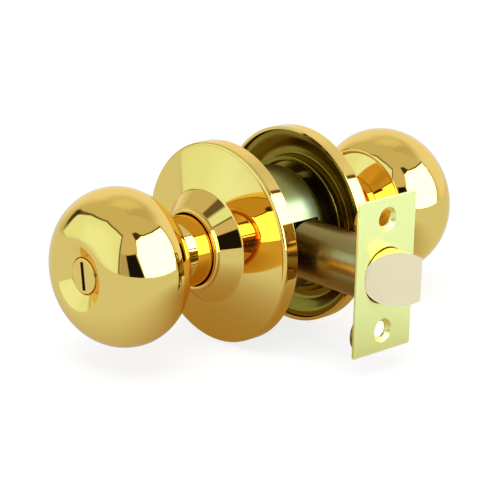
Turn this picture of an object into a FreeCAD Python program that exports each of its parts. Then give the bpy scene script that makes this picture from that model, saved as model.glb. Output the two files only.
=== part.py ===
import FreeCAD, Part
import Sketcher
import math
import os
import re

# Privacy knob lock for an interior door: two ball knobs on one spindle line, a drum-shaped
# case in the door's cross bore, and a sprung latch in the door's edge bore.
# Frame: +Y runs along the spindles towards the room side (inside), +X along the latch
# towards the door's edge, +Z up. The origin is where the two lines cross, halfway through
# the door. Each piece of the spindle line is drawn on the +Y side; the pieces of the
# outside are the same drawings turned half a turn about X.

DIMENSIONS = (
    ("door", 32, "thickness of the door between the roses"),
    ("fit", 0.05, "radial clearance of turning and sliding fits"),
    ("rest_gap", 0.01, "gap between pieces that rest on each other"),
    ("skin", 1.2, "thickness of the brass sheet"),
    ("rose_r", 37.5, "outer radius of a rose"),
    ("rim", 6.3, "depth of a rose's straight rim"),
    ("rim_edge", 1.3, "radius of the rim's front edge"),
    ("crease_r", 21.1, "radius where dish and collar cone meet"),
    ("crease_y", 11.3, "height of that crease over the door"),
    ("face_arc", 200, "radius of the slight hollow of a rose's dish"),
    ("collar_r", 15.2, "radius at the top of the collar cone"),
    ("collar_y", 17.4, "height of the top of the collar cone"),
    ("collar_top", 18.7, "height of the rose's bore over the door"),
    ("collar_bead", 1.1, "radius of the bead round the collar"),
    ("rose_bore", 13.6, "radius of the rose's bore"),
    ("liner_r", 36.1, "outer radius of a liner plate"),
    ("liner_flat", 34, "radius where the liner's flat rim ends"),
    ("liner_y", 1.7, "how far the liner's rim sits inside the rose"),
    ("liner_floor", 5, "depth of the liner's channel"),
    ("liner_sheet", 1.1, "thickness of the liner"),
    ("rib_out", 25.9, "outer radius of the liner's rib"),
    ("rib_in", 24.2, "inner radius of the liner's rib"),
    ("rib_y", 0.7, "how far the rib sits inside the rose"),
    ("liner_hub", 3.4, "depth of the liner's centre"),
    ("knob_r", 28.75, "largest radius of a knob"),
    ("knob_mid", 50.7, "height of the largest radius over the door"),
    ("front_arc", 20.1, "radius of the knob's front curve"),
    ("rear_arc", 17.5, "radius of the knob's rear curve"),
    ("crimp_r", 22.6, "radius where the rear curve meets the crimp"),
    ("crimp_in", 21.3, "inner radius of the crimp"),
    ("crimp_arc", 0.8, "radius of the crimp's roll"),
    ("lip_r", 14.3, "radius where the front curve starts to dip"),
    ("dip_r", 11.7, "radius where the dip turns into a cone"),
    ("dip_y", 19.08, "height of that turn over the knob's middle"),
    ("dip_arc", 3.6, "radius of the dip's crest"),
    ("dish_y", 16.4, "height of the button hole over the knob's middle"),
    ("button_hole", 6.65, "radius of the hole for the button"),
    ("cap_drop", 4, "how far the knob's back cone stands out"),
    ("cap_sheet", 0.84, "thickness of the knob's back cone"),
    ("neck_r", 13.15, "outer radius of the neck"),
    ("neck_low", 16.2, "height of the neck's foot over the door"),
    ("neck_bush", 3, "length of the neck's foot bush"),
    ("neck_wall", 1.2, "wall of the neck"),
    ("flange_r", 15.5, "radius of the neck's flange inside the knob"),
    ("spindle_r", 8, "outer radius of a spindle"),
    ("spindle_bore", 6.6, "bore of a spindle"),
    ("spindle_in", 8, "distance of the spindle tube from the centre"),
    ("spindle_out", 62, "distance of the spindle's outer end"),
    ("spindle_end", 1.4, "thickness of a spindle's end walls"),
    ("bar_hole", 3.2, "radius of the holes for the locking bar"),
    ("cam_r", 11.4, "radius of the half-round cam"),
    ("cam_in", 4, "distance of the cam from the centre"),
    ("cam_gap", 0.1, "gap between cam and retractor at rest"),
    ("hub_r", 11.5, "outer radius of a hub"),
    ("hub_out", 30.5, "distance of the hub's outer end"),
    ("hub_flange_r", 14, "radius of the hub's flange"),
    ("hub_flange", 1.2, "thickness of the hub's flange"),
    ("clip_r", 10, "outer radius of a snap ring"),
    ("clip_groove", 7.3, "radius of the snap ring's groove"),
    ("clip_sheet", 1, "thickness of a snap ring"),
    ("clip_gap", 4, "opening of a snap ring"),
    ("case_r", 24, "outer radius of the case"),
    ("case_half", 13.5, "half the length of the case"),
    ("case_edge", 4, "radius of the case's shoulder"),
    ("cover_edge", 2, "radius of the cover's shoulder"),
    ("seam", 11.4, "distance of the seam between case and cover"),
    ("window_y", 8.6, "half the width of the case's window"),
    ("window_z", 9.6, "half the height of the case's window"),
    ("window_x", 14, "where the window's cut starts"),
    ("screw_z", 17.5, "distance of a mounting screw from the spindle line"),
    ("screw_r", 2, "radius of a mounting screw"),
    ("screw_in", 10.5, "distance of the screw's tip from the door's middle"),
    ("head_r", 3.6, "radius of a screw head"),
    ("head", 2.2, "height of a screw head"),
    ("wall_x", 3, "thickness of the retractor's cam wall"),
    ("wall_y", 7.8, "half the width of the retractor"),
    ("wall_z", 13.5, "half the height of the cam wall"),
    ("tie_x", 2.5, "thickness of the retractor's back"),
    ("tie_z", 10.8, "half the height of the retractor's back"),
    ("notch", 2.9, "half the height of the notch for the bar"),
    ("finger_y", 3.2, "half the width of a retractor finger"),
    ("finger_in", 8.4, "inner height of a finger"),
    ("finger_out", 11, "outer height of a finger"),
    ("finger_x", 14.3, "where a finger ends"),
    ("hook", 2, "thickness of a finger's hook"),
    ("hook_z", 5.3, "inner height of a hook"),
    ("rail_in", 13.7, "inner height of the guide's rails"),
    ("rail_out", 14.9, "outer height of the guide's rails"),
    ("rail_front", 14, "front end of the guide's rails"),
    ("rail_back", 16.2, "back end of the guide's rails"),
    ("guide_back", 20.9, "back of the guide"),
    ("guide_z", 8.6, "half the height of the guide's back"),
    ("guide_y", 8.8, "half the width of the guide"),
    ("coil_z", 5.3, "height of a retractor spring over the centre"),
    ("coil_r", 2.5, "coil radius of a retractor spring"),
    ("coil_wire", 0.45, "wire of a retractor spring"),
    ("bar_x", 1.6, "thickness of the locking bar"),
    ("bar_z", 4.4, "width of the locking bar"),
    ("bar_in", 14, "how far the locking bar reaches past the centre"),
    ("stem_in", 22, "distance of the release stem's tip from the centre"),
    ("button_r", 6.45, "radius of a button"),
    ("button_low", 13.6, "height of a button's foot over the knob's middle"),
    ("button_lip_r", 8.3, "radius of a button's lip"),
    ("button_lip", 1.5, "thickness of a button's lip"),
    ("release_top", 16.9, "height of the slotted face over the knob's middle"),
    ("push_top", 24, "height of the push button over the knob's middle"),
    ("button_edge", 0.5, "radius of the slotted button's edge"),
    ("push_edge", 2.5, "radius of the push button's edge"),
    ("coin_long", 10.2, "length of the coin slot"),
    ("coin_wide", 1.7, "width of the coin slot"),
    ("coin_deep", 2, "depth of the coin slot"),
    ("slot_lean", 8, "lean of the coin slot from upright, in degrees"),
    ("push_coil", 3.9, "coil radius of the button's spring"),
    ("push_wire", 0.5, "wire of the button's spring"),
    ("catch_y", 39, "distance of the knob catch from the door's middle"),
    ("catch_long", 3, "length of the catch's nose"),
    ("catch_wide", 3, "width of the catch's nose"),
    ("leaf_low", 6.2, "outer height of the catch's leaf"),
    ("leaf", 0.8, "thickness of the catch's leaf"),
    ("leaf_long", 18, "length of the catch's leaf"),
    ("edge_x", 65, "distance of the faceplate's front from the spindle line"),
    ("plate", 1, "thickness of the faceplate"),
    ("plate_y", 28.5, "width of the faceplate"),
    ("plate_z", 57, "height of the faceplate"),
    ("hole_pitch", 41.3, "spacing of the faceplate's screw holes"),
    ("hole_r", 3.1, "radius of a faceplate screw hole"),
    ("sink_r", 4.3, "radius of a countersink"),
    ("sink_deep", 1.4, "depth of a countersink"),
    ("boss_r", 4.9, "radius of a boss where it leaves the plate"),
    ("boss_tip", 3.9, "radius of a boss at its tip"),
    ("boss", 1.2, "height of a boss behind the plate"),
    ("base_thick", 1.6, "thickness of the base plate behind the faceplate"),
    ("base_y", 12.2, "half the width of the base plate's straight sides"),
    ("base_z", 26.8, "half the height of the base plate"),
    ("lobe_z", 5, "half the height of a lobe beside a screw hole"),
    ("lobe_r", 7.8, "radius of a lobe"),
    ("base_hole", 5.1, "radius of the base plate's hole round a boss"),
    ("tube_in", 24.6, "inner end of the latch tube"),
    ("tube_r", 11, "outer radius of the latch tube"),
    ("tube_bore", 10.1, "bore of the latch tube"),
    ("tube_edge", 1.8, "radius of the tube's inner edge"),
    ("tube_mouth", 8.9, "radius of the opening in the tube's inner end"),
    ("tube_end", 1, "thickness of the tube's inner end"),
    ("guide_cap", 1.6, "thickness of the tube's end cap"),
    ("bolt_r", 10, "radius of the latch bolt"),
    ("bolt_gap", 0.35, "gap round the bolt in the faceplate"),
    ("bolt_in", 48, "inner end of the latch bolt"),
    ("throw", 11.5, "how far the bolt stands out of the faceplate"),
    ("bolt_flat", 6.3, "distance of the bolt's flat side from its centre"),
    ("bevel_y", 8.4, "where the bevel meets the faceplate's plane"),
    ("slot_deep", 10, "depth of the slot in the bolt's foot"),
    ("tail", 2, "thickness of the latch tail"),
    ("tail_z", 5, "half the height of the latch tail"),
    ("head_in", 10, "inner end of the tail's head"),
    ("head_x", 2, "thickness of the tail's head"),
    ("head_z", 8.1, "half the height of the tail's head"),
    ("fork", 2.6, "half the height of the tail's fork"),
    ("fork_end", 14.8, "where the tail's fork ends"),
    ("pin_r", 1.5, "radius of the tail pin"),
    ("pin_x", 53, "where the tail pin crosses the bolt"),
    ("pin_y", 7, "half the length of the tail pin"),
    ("bolt_coil", 7.4, "coil radius of the bolt's spring"),
    ("bolt_wire", 0.9, "wire of the bolt's spring"),
)

SPRING_TURNS = {"retractor": 5, "button": 7, "bolt": 7}
NAMES = {name for name, value, note in DIMENSIONS}
# how far the ends of the knob's front and rear curves lie from the centres of those curves
FRONT_REACH = "lip_r - knob_r + front_arc"
REAR_REACH = "crimp_r - knob_r + rear_arc"
INSIDE = FreeCAD.Rotation()
OUTSIDE = FreeCAD.Rotation(FreeCAD.Vector(1, 0, 0), 180)

doc = FreeCAD.newDocument("KnobLock")
sheet = doc.addObject("Spreadsheet::Sheet", "Dims")
for row, (name, value, note) in enumerate(DIMENSIONS, start=1):
    sheet.set(f"A{row}", name)
    sheet.set(f"B{row}", str(value))
    sheet.set(f"C{row}", note)
    sheet.setAlias(f"B{row}", name)
doc.recompute()


def bound(text):
    """The formula with every dimension's name pointed at the sheet."""
    return re.sub(r"[a-z]\w*", lambda m: "Dims." + m.group() if m.group() in NAMES else m.group(), text)


def amount(text):
    """What a formula comes to now, in millimetres."""
    result = sheet.evalExpression(bound(text))
    return float(getattr(result, "Value", result))


def drive(obj, path, text):
    obj.setExpression(path, bound(text))


def named(obj, label):
    obj.Label = label
    return obj


def new_body(label):
    return named(doc.addObject("PartDesign::Body", "Body"), label)


def arc_between(start, end, radius):
    """A minor arc between two points; a positive radius bulges to the right of the way along."""
    chord = end - start
    right = FreeCAD.Vector(chord.y, -chord.x, 0).normalize()
    reach = math.sqrt(max(radius * radius - chord.Length * chord.Length / 4, 0))
    middle = (start + end) / 2 + right * math.copysign(abs(radius) - reach, radius)
    return Part.Arc(start, middle, end)


def outline(body, plane, points, arcs=None, offset=None):
    """A closed sketch through points given as formulas; arcs maps a side's number to its radius."""
    arcs = arcs or {}
    sketch = body.newObject("Sketcher::SketchObject", "Sketch")
    support = next(f for f in body.Origin.OriginFeatures if f.Role == plane)
    sketch.AttachmentSupport = [(support, "")]
    sketch.MapMode = "FlatFace"
    if offset:
        drive(sketch, "AttachmentOffset.Base.z", offset)
    corners = [FreeCAD.Vector(amount(across), amount(up), 0) for across, up in points]
    count = len(points)
    for side, start in enumerate(corners):
        end = corners[(side + 1) % count]
        if side in arcs:
            sketch.addGeometry(arc_between(start, end, amount(arcs[side])))
        else:
            sketch.addGeometry(Part.LineSegment(start, end))
    # arcs are stored anticlockwise, so which end comes first is read back from the sketch
    first = []
    for side, start in enumerate(corners):
        begins_here = sketch.getPoint(side, 1).distanceToPoint(start) < 1e-6
        first.append((1, 2) if begins_here else (2, 1))
    for side, (across, up) in enumerate(points):
        before = (side - 1) % count
        start, last = first[side][0], first[before][1]
        sketch.addConstraint(Sketcher.Constraint("Coincident", before, last, side, start))
        place_point(sketch, side, start, across, "DistanceX", -2)
        place_point(sketch, side, start, up, "DistanceY", -1)
    for side, radius in arcs.items():
        index = sketch.addConstraint(Sketcher.Constraint("Radius", side, abs(amount(radius))))
        drive(sketch, f"Constraints[{index}]", f"abs({radius})")
    return sketch


def place_point(sketch, side, end, text, kind, axis):
    if text == "0":
        sketch.addConstraint(Sketcher.Constraint("PointOnObject", side, end, axis))
        return
    index = sketch.addConstraint(Sketcher.Constraint(kind, side, end, amount(text)))
    drive(sketch, f"Constraints[{index}]", text)


def disc(body, plane, centre, radius, offset=None):
    """A sketch holding one circle."""
    sketch = body.newObject("Sketcher::SketchObject", "Sketch")
    support = next(f for f in body.Origin.OriginFeatures if f.Role == plane)
    sketch.AttachmentSupport = [(support, "")]
    sketch.MapMode = "FlatFace"
    if offset:
        drive(sketch, "AttachmentOffset.Base.z", offset)
    middle = FreeCAD.Vector(amount(centre[0]), amount(centre[1]), 0)
    sketch.addGeometry(Part.Circle(middle, FreeCAD.Vector(0, 0, 1), amount(radius)))
    place_point(sketch, 0, 3, centre[0], "DistanceX", -2)
    place_point(sketch, 0, 3, centre[1], "DistanceY", -1)
    index = sketch.addConstraint(Sketcher.Constraint("Radius", 0, amount(radius)))
    drive(sketch, f"Constraints[{index}]", radius)
    return sketch


def revolve(body, sketch, axis="V_Axis"):
    feature = body.newObject("PartDesign::Revolution", "Revolution")
    feature.Profile = sketch
    feature.ReferenceAxis = (sketch, [axis])
    feature.Angle = 360
    return feature


def pad(body, sketch, length, midplane=False):
    feature = body.newObject("PartDesign::Pad", "Pad")
    feature.Profile = sketch
    drive(feature, "Length", length)
    feature.Midplane = midplane
    return feature


def turned(label, points, arcs=None, axis="V_Axis"):
    """A body of revolution: about +Y from (radius, y) points, or about +X from (x, radius)."""
    body = new_body(label)
    revolve(body, outline(body, "XY_Plane", points, arcs), axis)
    return body


def block(low, high):
    """A box between two corners given as formulas."""
    box = doc.addObject("Part::Box", "Box")
    for side, path, start, end in zip(("Length", "Width", "Height"), "xyz", low, high):
        drive(box, side, f"({end}) - ({start})")
        drive(box, f"Placement.Base.{path}", start)
    return box


def round_bar(kind, axis, foot, length, **radii):
    """A cylinder or cone that stands on its foot and points along +X, +Y or +Z."""
    turn = {"x": FreeCAD.Rotation(FreeCAD.Vector(0, 1, 0), 90),
            "y": FreeCAD.Rotation(FreeCAD.Vector(1, 0, 0), -90),
            "z": FreeCAD.Rotation()}[axis]
    bar = doc.addObject(kind, "Bar")
    bar.Placement = FreeCAD.Placement(FreeCAD.Vector(), turn)
    for path, text in zip("xyz", foot):
        drive(bar, f"Placement.Base.{path}", text)
    drive(bar, "Height", length)
    for prop, text in radii.items():
        drive(bar, prop, text)
    return bar


def carve(label, base, tools):
    """The base with every tool cut away."""
    if len(tools) > 1:
        cutter = doc.addObject("Part::MultiFuse", "Cutters")
        cutter.Shapes = tools
    else:
        cutter = tools[0]
    result = doc.addObject("Part::Cut", "Cut")
    result.Base = base
    result.Tool = cutter
    result.Refine = True
    return named(result, label)


def join(label, pieces, refine=True):
    result = doc.addObject("Part::MultiFuse", "Fusion")
    result.Shapes = pieces
    result.Refine = refine
    return named(result, label)


def above_door(text):
    return f"door / 2 + {text}"


def on_knob(text):
    return f"door / 2 + knob_mid + {text}"


def arc_height(reach, radius):
    """Height over the knob's middle of a curve's end, from its reach and the curve's radius."""
    return f"sqrt(({radius})^2 - ({reach})^2)"


def crimp_depth():
    """How far the crimp lies behind the knob's middle."""
    return arc_height(REAR_REACH, "rear_arc")


def rose(label):
    points = [
        ("rose_r", above_door("0")),
        ("rose_r", above_door("rim - rim_edge")),
        ("rose_r - rim_edge", above_door("rim")),
        ("crease_r", above_door("crease_y")),
        ("collar_r", above_door("collar_y")),
        ("rose_bore", above_door("collar_top")),
        ("rose_bore", above_door("collar_top - skin")),
        ("collar_r - skin / 2", above_door("collar_y - skin")),
        ("crease_r - skin / 2", above_door("crease_y - skin")),
        ("rose_r - 2 * skin", above_door("rim - skin")),
        ("rose_r - skin", above_door("rim - 2 * skin")),
        ("rose_r - skin", above_door("0")),
    ]
    return turned(label, points, {1: "rim_edge", 2: "-face_arc", 4: "collar_bead", 8: "face_arc"})


def liner(label):
    rim = above_door("liner_y")
    rib = above_door("rib_y")
    hub = above_door("liner_hub")
    floor = above_door("liner_floor")
    points = [
        ("liner_r", rim),
        ("liner_r", f"{rim} + liner_sheet"),
        ("liner_flat", f"{rim} + liner_sheet"),
        ("rib_out + 3 * liner_sheet", f"{floor} + liner_sheet"),
        ("rib_out - liner_sheet / 2", f"{floor} + liner_sheet"),
        ("rib_out - liner_sheet", f"{hub} + liner_sheet"),
        ("hub_r + fit", f"{hub} + liner_sheet"),
        ("hub_r + fit", hub),
        ("rib_in", hub),
        ("rib_in", rib),
        ("rib_out", rib),
        ("rib_out + liner_sheet / 2", floor),
        ("rib_out + 3 * liner_sheet", floor),
        ("liner_flat", rim),
    ]
    return turned(label, points)


def mounting_plate():
    """The inside liner, with a hole for each of the two screws that hold it to the case."""
    holes = []
    for side in ("", "-"):
        foot = ("0", above_door("0"), f"{side}screw_z")
        holes.append(round_bar("Part::Cylinder", "y", foot, "rim", Radius="screw_r + 3 * fit"))
    return carve("mounting_plate", liner("plate_blank"), holes)


def knob_shell(label):
    inner_crimp = arc_height(f"{REAR_REACH} - skin / 2", "rear_arc - skin")
    points = [
        ("crimp_r", on_knob(f"0 - {crimp_depth()}")),
        ("knob_r", on_knob("0")),
        ("lip_r", on_knob(arc_height(FRONT_REACH, "front_arc"))),
        ("dip_r", on_knob("dip_y")),
        ("button_hole", on_knob("dish_y")),
        ("button_hole", on_knob("dish_y - skin")),
        ("dip_r + skin / 4", on_knob("dip_y - skin")),
        ("lip_r", on_knob(arc_height(FRONT_REACH, "front_arc - skin"))),
        ("knob_r - skin", on_knob("0")),
        ("crimp_r - skin / 2", on_knob(f"0 - {inner_crimp}")),
        ("crimp_in", on_knob(f"skin / 2 - {crimp_depth()}")),
    ]
    arcs = {0: "rear_arc", 1: "front_arc", 2: "dip_arc",
            6: "skin - dip_arc", 7: "skin - front_arc", 8: "skin - rear_arc", 10: "crimp_arc"}
    return turned(label, points, arcs)


def cap_rim():
    """Height over the knob's middle of the outer face of the back cone at its rim."""
    return f"skin / 2 - {crimp_depth()}"


def knob_back(label):
    return turned(label, [
        ("crimp_in - fit", on_knob(cap_rim())),
        ("crimp_in - fit", on_knob(f"cap_sheet + {cap_rim()}")),
        ("neck_r + fit", on_knob(f"cap_sheet - cap_drop + {cap_rim()}")),
        ("neck_r + fit", on_knob(f"{cap_rim()} - cap_drop")),
    ])


def neck_top():
    """Height over the door of the neck's flange."""
    return on_knob(f"cap_sheet - cap_drop + {cap_rim()} + 2 * skin")


def neck(label):
    foot = above_door("neck_low")
    top = neck_top()
    points = [
        ("spindle_r + fit", foot),
        ("neck_r", foot),
        ("neck_r", top),
        ("flange_r", top),
        ("flange_r", f"{top} + skin"),
        ("spindle_r + fit", f"{top} + skin"),
        ("spindle_r + fit", f"{top} - skin"),
        ("neck_r - neck_wall", f"{top} - skin"),
        ("neck_r - neck_wall", f"{foot} + neck_bush"),
        ("spindle_r + fit", f"{foot} + neck_bush"),
    ]
    return turned(label, points)


def catch_hole():
    """The cutter through neck and spindle for the nose of the knob catch."""
    low = ("-catch_wide / 2 - 2 * fit", "catch_y - 2 * fit", "-neck_r - skin")
    high = ("catch_wide / 2 + 2 * fit", "catch_y + catch_long + 2 * fit", "0 - bar_hole")
    return block(low, high)


def inside_neck():
    return carve("inside_neck", neck("neck_blank"), [catch_hole()])


def spindle(label):
    """A tube with a web at each end, a snap ring groove and a half-round cam."""
    body = new_body(label)
    groove = "hub_out + 4 * fit"
    points = [
        ("bar_hole", "spindle_in"),
        ("spindle_r", "spindle_in"),
        ("spindle_r", groove),
        ("clip_groove", groove),
        ("clip_groove", f"{groove} + clip_sheet + 2 * fit"),
        ("spindle_r", f"{groove} + clip_sheet + 2 * fit"),
        ("spindle_r", "spindle_out"),
        ("bar_hole", "spindle_out"),
        ("bar_hole", "spindle_out - spindle_end"),
        ("spindle_bore", "spindle_out - spindle_end"),
        ("spindle_bore", "spindle_in + spindle_end"),
        ("bar_hole", "spindle_in + spindle_end"),
    ]
    revolve(body, outline(body, "XY_Plane", points))
    half_round = [
        ("cam_gap", "-cam_r"),
        ("cam_r", "0"),
        ("cam_gap", "cam_r"),
        ("cam_gap", "bar_hole"),
        ("bar_hole", "0"),
        ("cam_gap", "-bar_hole"),
    ]
    arcs = {0: "cam_r", 1: "cam_r", 3: "-bar_hole", 4: "-bar_hole"}
    cam = outline(body, "XZ_Plane", half_round, arcs, offset="-spindle_in - spindle_end / 2")
    pad(body, cam, "spindle_in + spindle_end / 2 - cam_in")
    return body


def inside_spindle():
    return carve("inside_spindle", spindle("spindle_blank"), [catch_hole()])


def snap_ring(label):
    low = "hub_out + 5 * fit"
    ring = turned("ring_blank", [
        ("clip_groove + fit", low),
        ("clip_r", low),
        ("clip_r", f"{low} + clip_sheet"),
        ("clip_groove + fit", f"{low} + clip_sheet"),
    ])
    gap = block(("0", "hub_out", "-clip_gap / 2"),
                ("clip_r + skin", "hub_out + 2 * clip_sheet", "clip_gap / 2"))
    return carve(label, ring, [gap])


def hub(label):
    flange = "case_half - skin - fit"
    return turned(label, [
        ("spindle_r + fit", f"{flange} - hub_flange"),
        ("hub_flange_r", f"{flange} - hub_flange"),
        ("hub_flange_r", flange),
        ("hub_r", flange),
        ("hub_r", "hub_out"),
        ("spindle_r + fit", "hub_out"),
    ])


def case_shell():
    """The drum, closed at the inside end, with the window that lets the latch tail in."""
    shell = turned("shell_blank", [
        ("case_r", "-seam"),
        ("case_r", "case_half - case_edge"),
        ("case_r - case_edge", "case_half"),
        ("hub_r + fit", "case_half"),
        ("hub_r + fit", "case_half - skin"),
        ("case_r - case_edge", "case_half - skin"),
        ("case_r - skin", "case_half - case_edge"),
        ("case_r - skin", "-seam"),
    ], {1: "case_edge", 5: "skin - case_edge"})
    window = block(("window_x", "-window_y", "-window_z"), ("case_r + skin", "window_y", "window_z"))
    tools = [window]
    for side in ("", "-"):
        foot = ("0", "screw_in", f"{side}screw_z")
        tools.append(round_bar("Part::Cylinder", "y", foot, "rim", Radius="screw_r + fit"))
    return carve("case_shell", shell, tools)


def case_cover():
    """The drum's outside end, whose spigot fits in the shell."""
    return turned("case_cover", [
        ("case_r", "seam + fit"),
        ("case_r", "case_half - cover_edge"),
        ("case_r - cover_edge", "case_half"),
        ("hub_r + fit", "case_half"),
        ("hub_r + fit", "case_half - skin"),
        ("case_r - 3 * skin", "case_half - skin"),
        ("case_r - 2 * skin", "case_half - 2 * skin"),
        ("case_r - 2 * skin", "seam - 2 * skin"),
        ("case_r - skin - fit", "seam - 2 * skin"),
        ("case_r - skin - fit", "seam + fit"),
    ], {1: "cover_edge"})


def retractor_guide():
    """A bent strip whose two rails guide the retractor and whose back seats its springs."""
    body = new_body("retractor_guide")
    wall = "rail_out - rail_in"
    strip = outline(body, "XZ_Plane", [
        ("rail_front", "rail_in"),
        ("rail_front", "rail_out"),
        ("-rail_back", "rail_out"),
        ("-guide_back", "guide_z"),
        ("-guide_back", "-guide_z"),
        ("-rail_back", "-rail_out"),
        ("rail_front", "-rail_out"),
        ("rail_front", "-rail_in"),
        (f"({wall}) / 2 - rail_back", "-rail_in"),
        (f"{wall} - guide_back", f"({wall}) / 2 - guide_z"),
        (f"{wall} - guide_back", f"guide_z - ({wall}) / 2"),
        (f"({wall}) / 2 - rail_back", "rail_in"),
    ])
    pad(body, strip, "2 * guide_y", midplane=True)
    return body


def retractor():
    """The slide that the cams push back, with two hooked fingers round the latch tail's head."""
    body = new_body("retractor")
    wall = outline(body, "XZ_Plane", [
        ("0", "notch"),
        ("0", "wall_z"),
        ("-wall_x", "wall_z"),
        ("-wall_x", "tie_z"),
        ("-wall_x - tie_x", "tie_z"),
        ("-wall_x - tie_x", "-tie_z"),
        ("-wall_x", "-tie_z"),
        ("-wall_x", "-wall_z"),
        ("0", "-wall_z"),
        ("0", "-notch"),
        ("-wall_x", "-notch"),
        ("-wall_x", "notch"),
    ])
    pad(body, wall, "2 * wall_y", midplane=True)
    for side in ("", "-"):
        finger = outline(body, "XZ_Plane", [
            ("-wall_x / 2", f"{side}finger_in"),
            ("finger_x - hook", f"{side}finger_in"),
            ("finger_x - hook", f"{side}hook_z"),
            ("finger_x", f"{side}hook_z"),
            ("finger_x", f"{side}finger_out"),
            ("-wall_x / 2", f"{side}finger_out"),
        ])
        pad(body, finger, "2 * finger_y", midplane=True)
    return body


def spring(label, axis, start, centre, coil, wire, length, turns):
    """A plain coil along +X or +Y from start, round a centre height, ending inside the length."""
    body = new_body(label)
    if axis == "x":
        section = disc(body, "XZ_Plane", (f"{start} + {wire}", coil), f"{wire} / 2")
        line = "H_Axis"
    else:
        section = disc(body, "XY_Plane", (coil, f"{start} + {wire}"), f"{wire} / 2")
        line = "V_Axis"
    helix = body.newObject("PartDesign::AdditiveHelix", "Helix")
    helix.Profile = section
    helix.ReferenceAxis = (section, [line])
    helix.Mode = "pitch-turns-angle"
    drive(helix, "Pitch", f"(({length}) - 2 * {wire}) / {turns}")
    helix.Turns = turns
    drive(body, "Placement.Base.z", centre)
    return body


def retractor_springs():
    """The pair of springs that push the retractor home."""
    start = "rail_out - rail_in - guide_back"
    length = "guide_back - (rail_out - rail_in) - wall_x - tie_x"
    coils = []
    for side in ("", "-"):
        coils.append(spring("coil", "x", start, f"{side}coil_z", "coil_r", "coil_wire", length,
                            SPRING_TURNS["retractor"]))
    pair = doc.addObject("Part::Compound", "Pair")
    pair.Links = coils
    return named(pair, "retractor_springs")


def mounting_screws():
    """Two pan-head machine screws with a slot."""
    screws = []
    for side in ("", "-"):
        seat = above_door("liner_hub + liner_sheet")
        shank = round_bar("Part::Cylinder", "y", ("0", "screw_in", f"{side}screw_z"),
                          f"{seat} + head / 2 - screw_in", Radius="screw_r")
        head = round_bar("Part::Cylinder", "y", ("0", f"{seat} + fit", f"{side}screw_z"),
                         "head", Radius="head_r")
        slot = block(("-head_r", f"{seat} + head / 2", f"{side}screw_z - head / 5"),
                     ("head_r", f"{seat} + 2 * head", f"{side}screw_z + head / 5"))
        screws.append(carve("screw", join("screw_blank", [shank, head]), [slot]))
    pair = doc.addObject("Part::Compound", "Pair")
    pair.Links = screws
    return named(pair, "mounting_screws")


def button(label, top, edge):
    foot = on_knob("button_low")
    return turned(label, [
        ("0", foot),
        ("button_lip_r", foot),
        ("button_lip_r", f"{foot} + button_lip"),
        ("button_r", f"{foot} + button_lip"),
        ("button_r", on_knob(f"{top} - {edge}")),
        (f"button_r - {edge}", on_knob(top)),
        ("0", on_knob(top)),
    ], {4: edge})


def release_button():
    """The outside button, turned with a coin in its slot."""
    top = on_knob("release_top")
    slot = block(("-coin_wide / 2", f"{top} - coin_deep", "-coin_long / 2"),
                 ("coin_wide / 2", f"{top} + coin_deep", "coin_long / 2"))
    return carve("release_button", button("button_blank", "release_top", "button_edge"), [slot])


def flat_bar(label, tip):
    """A flat bar from the foot of a button to its tip."""
    body = new_body(label)
    foot = on_knob("button_low - rest_gap")
    section = outline(body, "XZ_Plane", [
        ("-bar_x / 2", "-bar_z / 2"),
        ("bar_x / 2", "-bar_z / 2"),
        ("bar_x / 2", "bar_z / 2"),
        ("-bar_x / 2", "bar_z / 2"),
    ], offset=f"0 - ({foot})")
    pad(body, section, f"{foot} - ({tip})")
    return body


def knob_catch():
    """A leaf inside the spindle whose nose locks the knob's neck to it."""
    nose = block(("-catch_wide / 2", "catch_y", "-neck_r + neck_wall / 4"),
                 ("catch_wide / 2", "catch_y + catch_long", "0 - leaf_low"))
    leaf = block(("-catch_wide / 2", "catch_y - catch_long", "-leaf_low"),
                 ("catch_wide / 2", "catch_y - catch_long + leaf_long", "leaf - leaf_low"))
    return join("knob_catch", [nose, leaf])


def faceplate():
    """A thin plate with the bolt's opening and two countersinks pressed into bosses."""
    body = new_body("plate_blank")
    sheet_outline = outline(body, "YZ_Plane", [
        ("-plate_y / 2", "-plate_z / 2"),
        ("plate_y / 2", "-plate_z / 2"),
        ("plate_y / 2", "plate_z / 2"),
        ("-plate_y / 2", "plate_z / 2"),
    ], offset="edge_x - plate")
    pad(body, sheet_outline, "plate")
    bosses = []
    cutters = [round_bar("Part::Cylinder", "x", ("edge_x - 2 * plate", "0", "0"), "3 * plate",
                         Radius="bolt_r + bolt_gap")]
    for side in ("", "-"):
        height = f"{side}hole_pitch / 2"
        back = ("edge_x - plate - boss", "0", height)
        bosses.append(round_bar("Part::Cone", "x", back, "boss", Radius1="boss_tip", Radius2="boss_r"))
        cutters.append(round_bar("Part::Cylinder", "x", ("edge_x - 3 * plate", "0", height), "4 * plate",
                                 Radius="hole_r"))
        cutters.append(round_bar("Part::Cone", "x", ("edge_x - sink_deep", "0", height), "sink_deep",
                                 Radius1="hole_r", Radius2="sink_r"))
    return carve("faceplate", join("bossed_plate", [body] + bosses), cutters)


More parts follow.
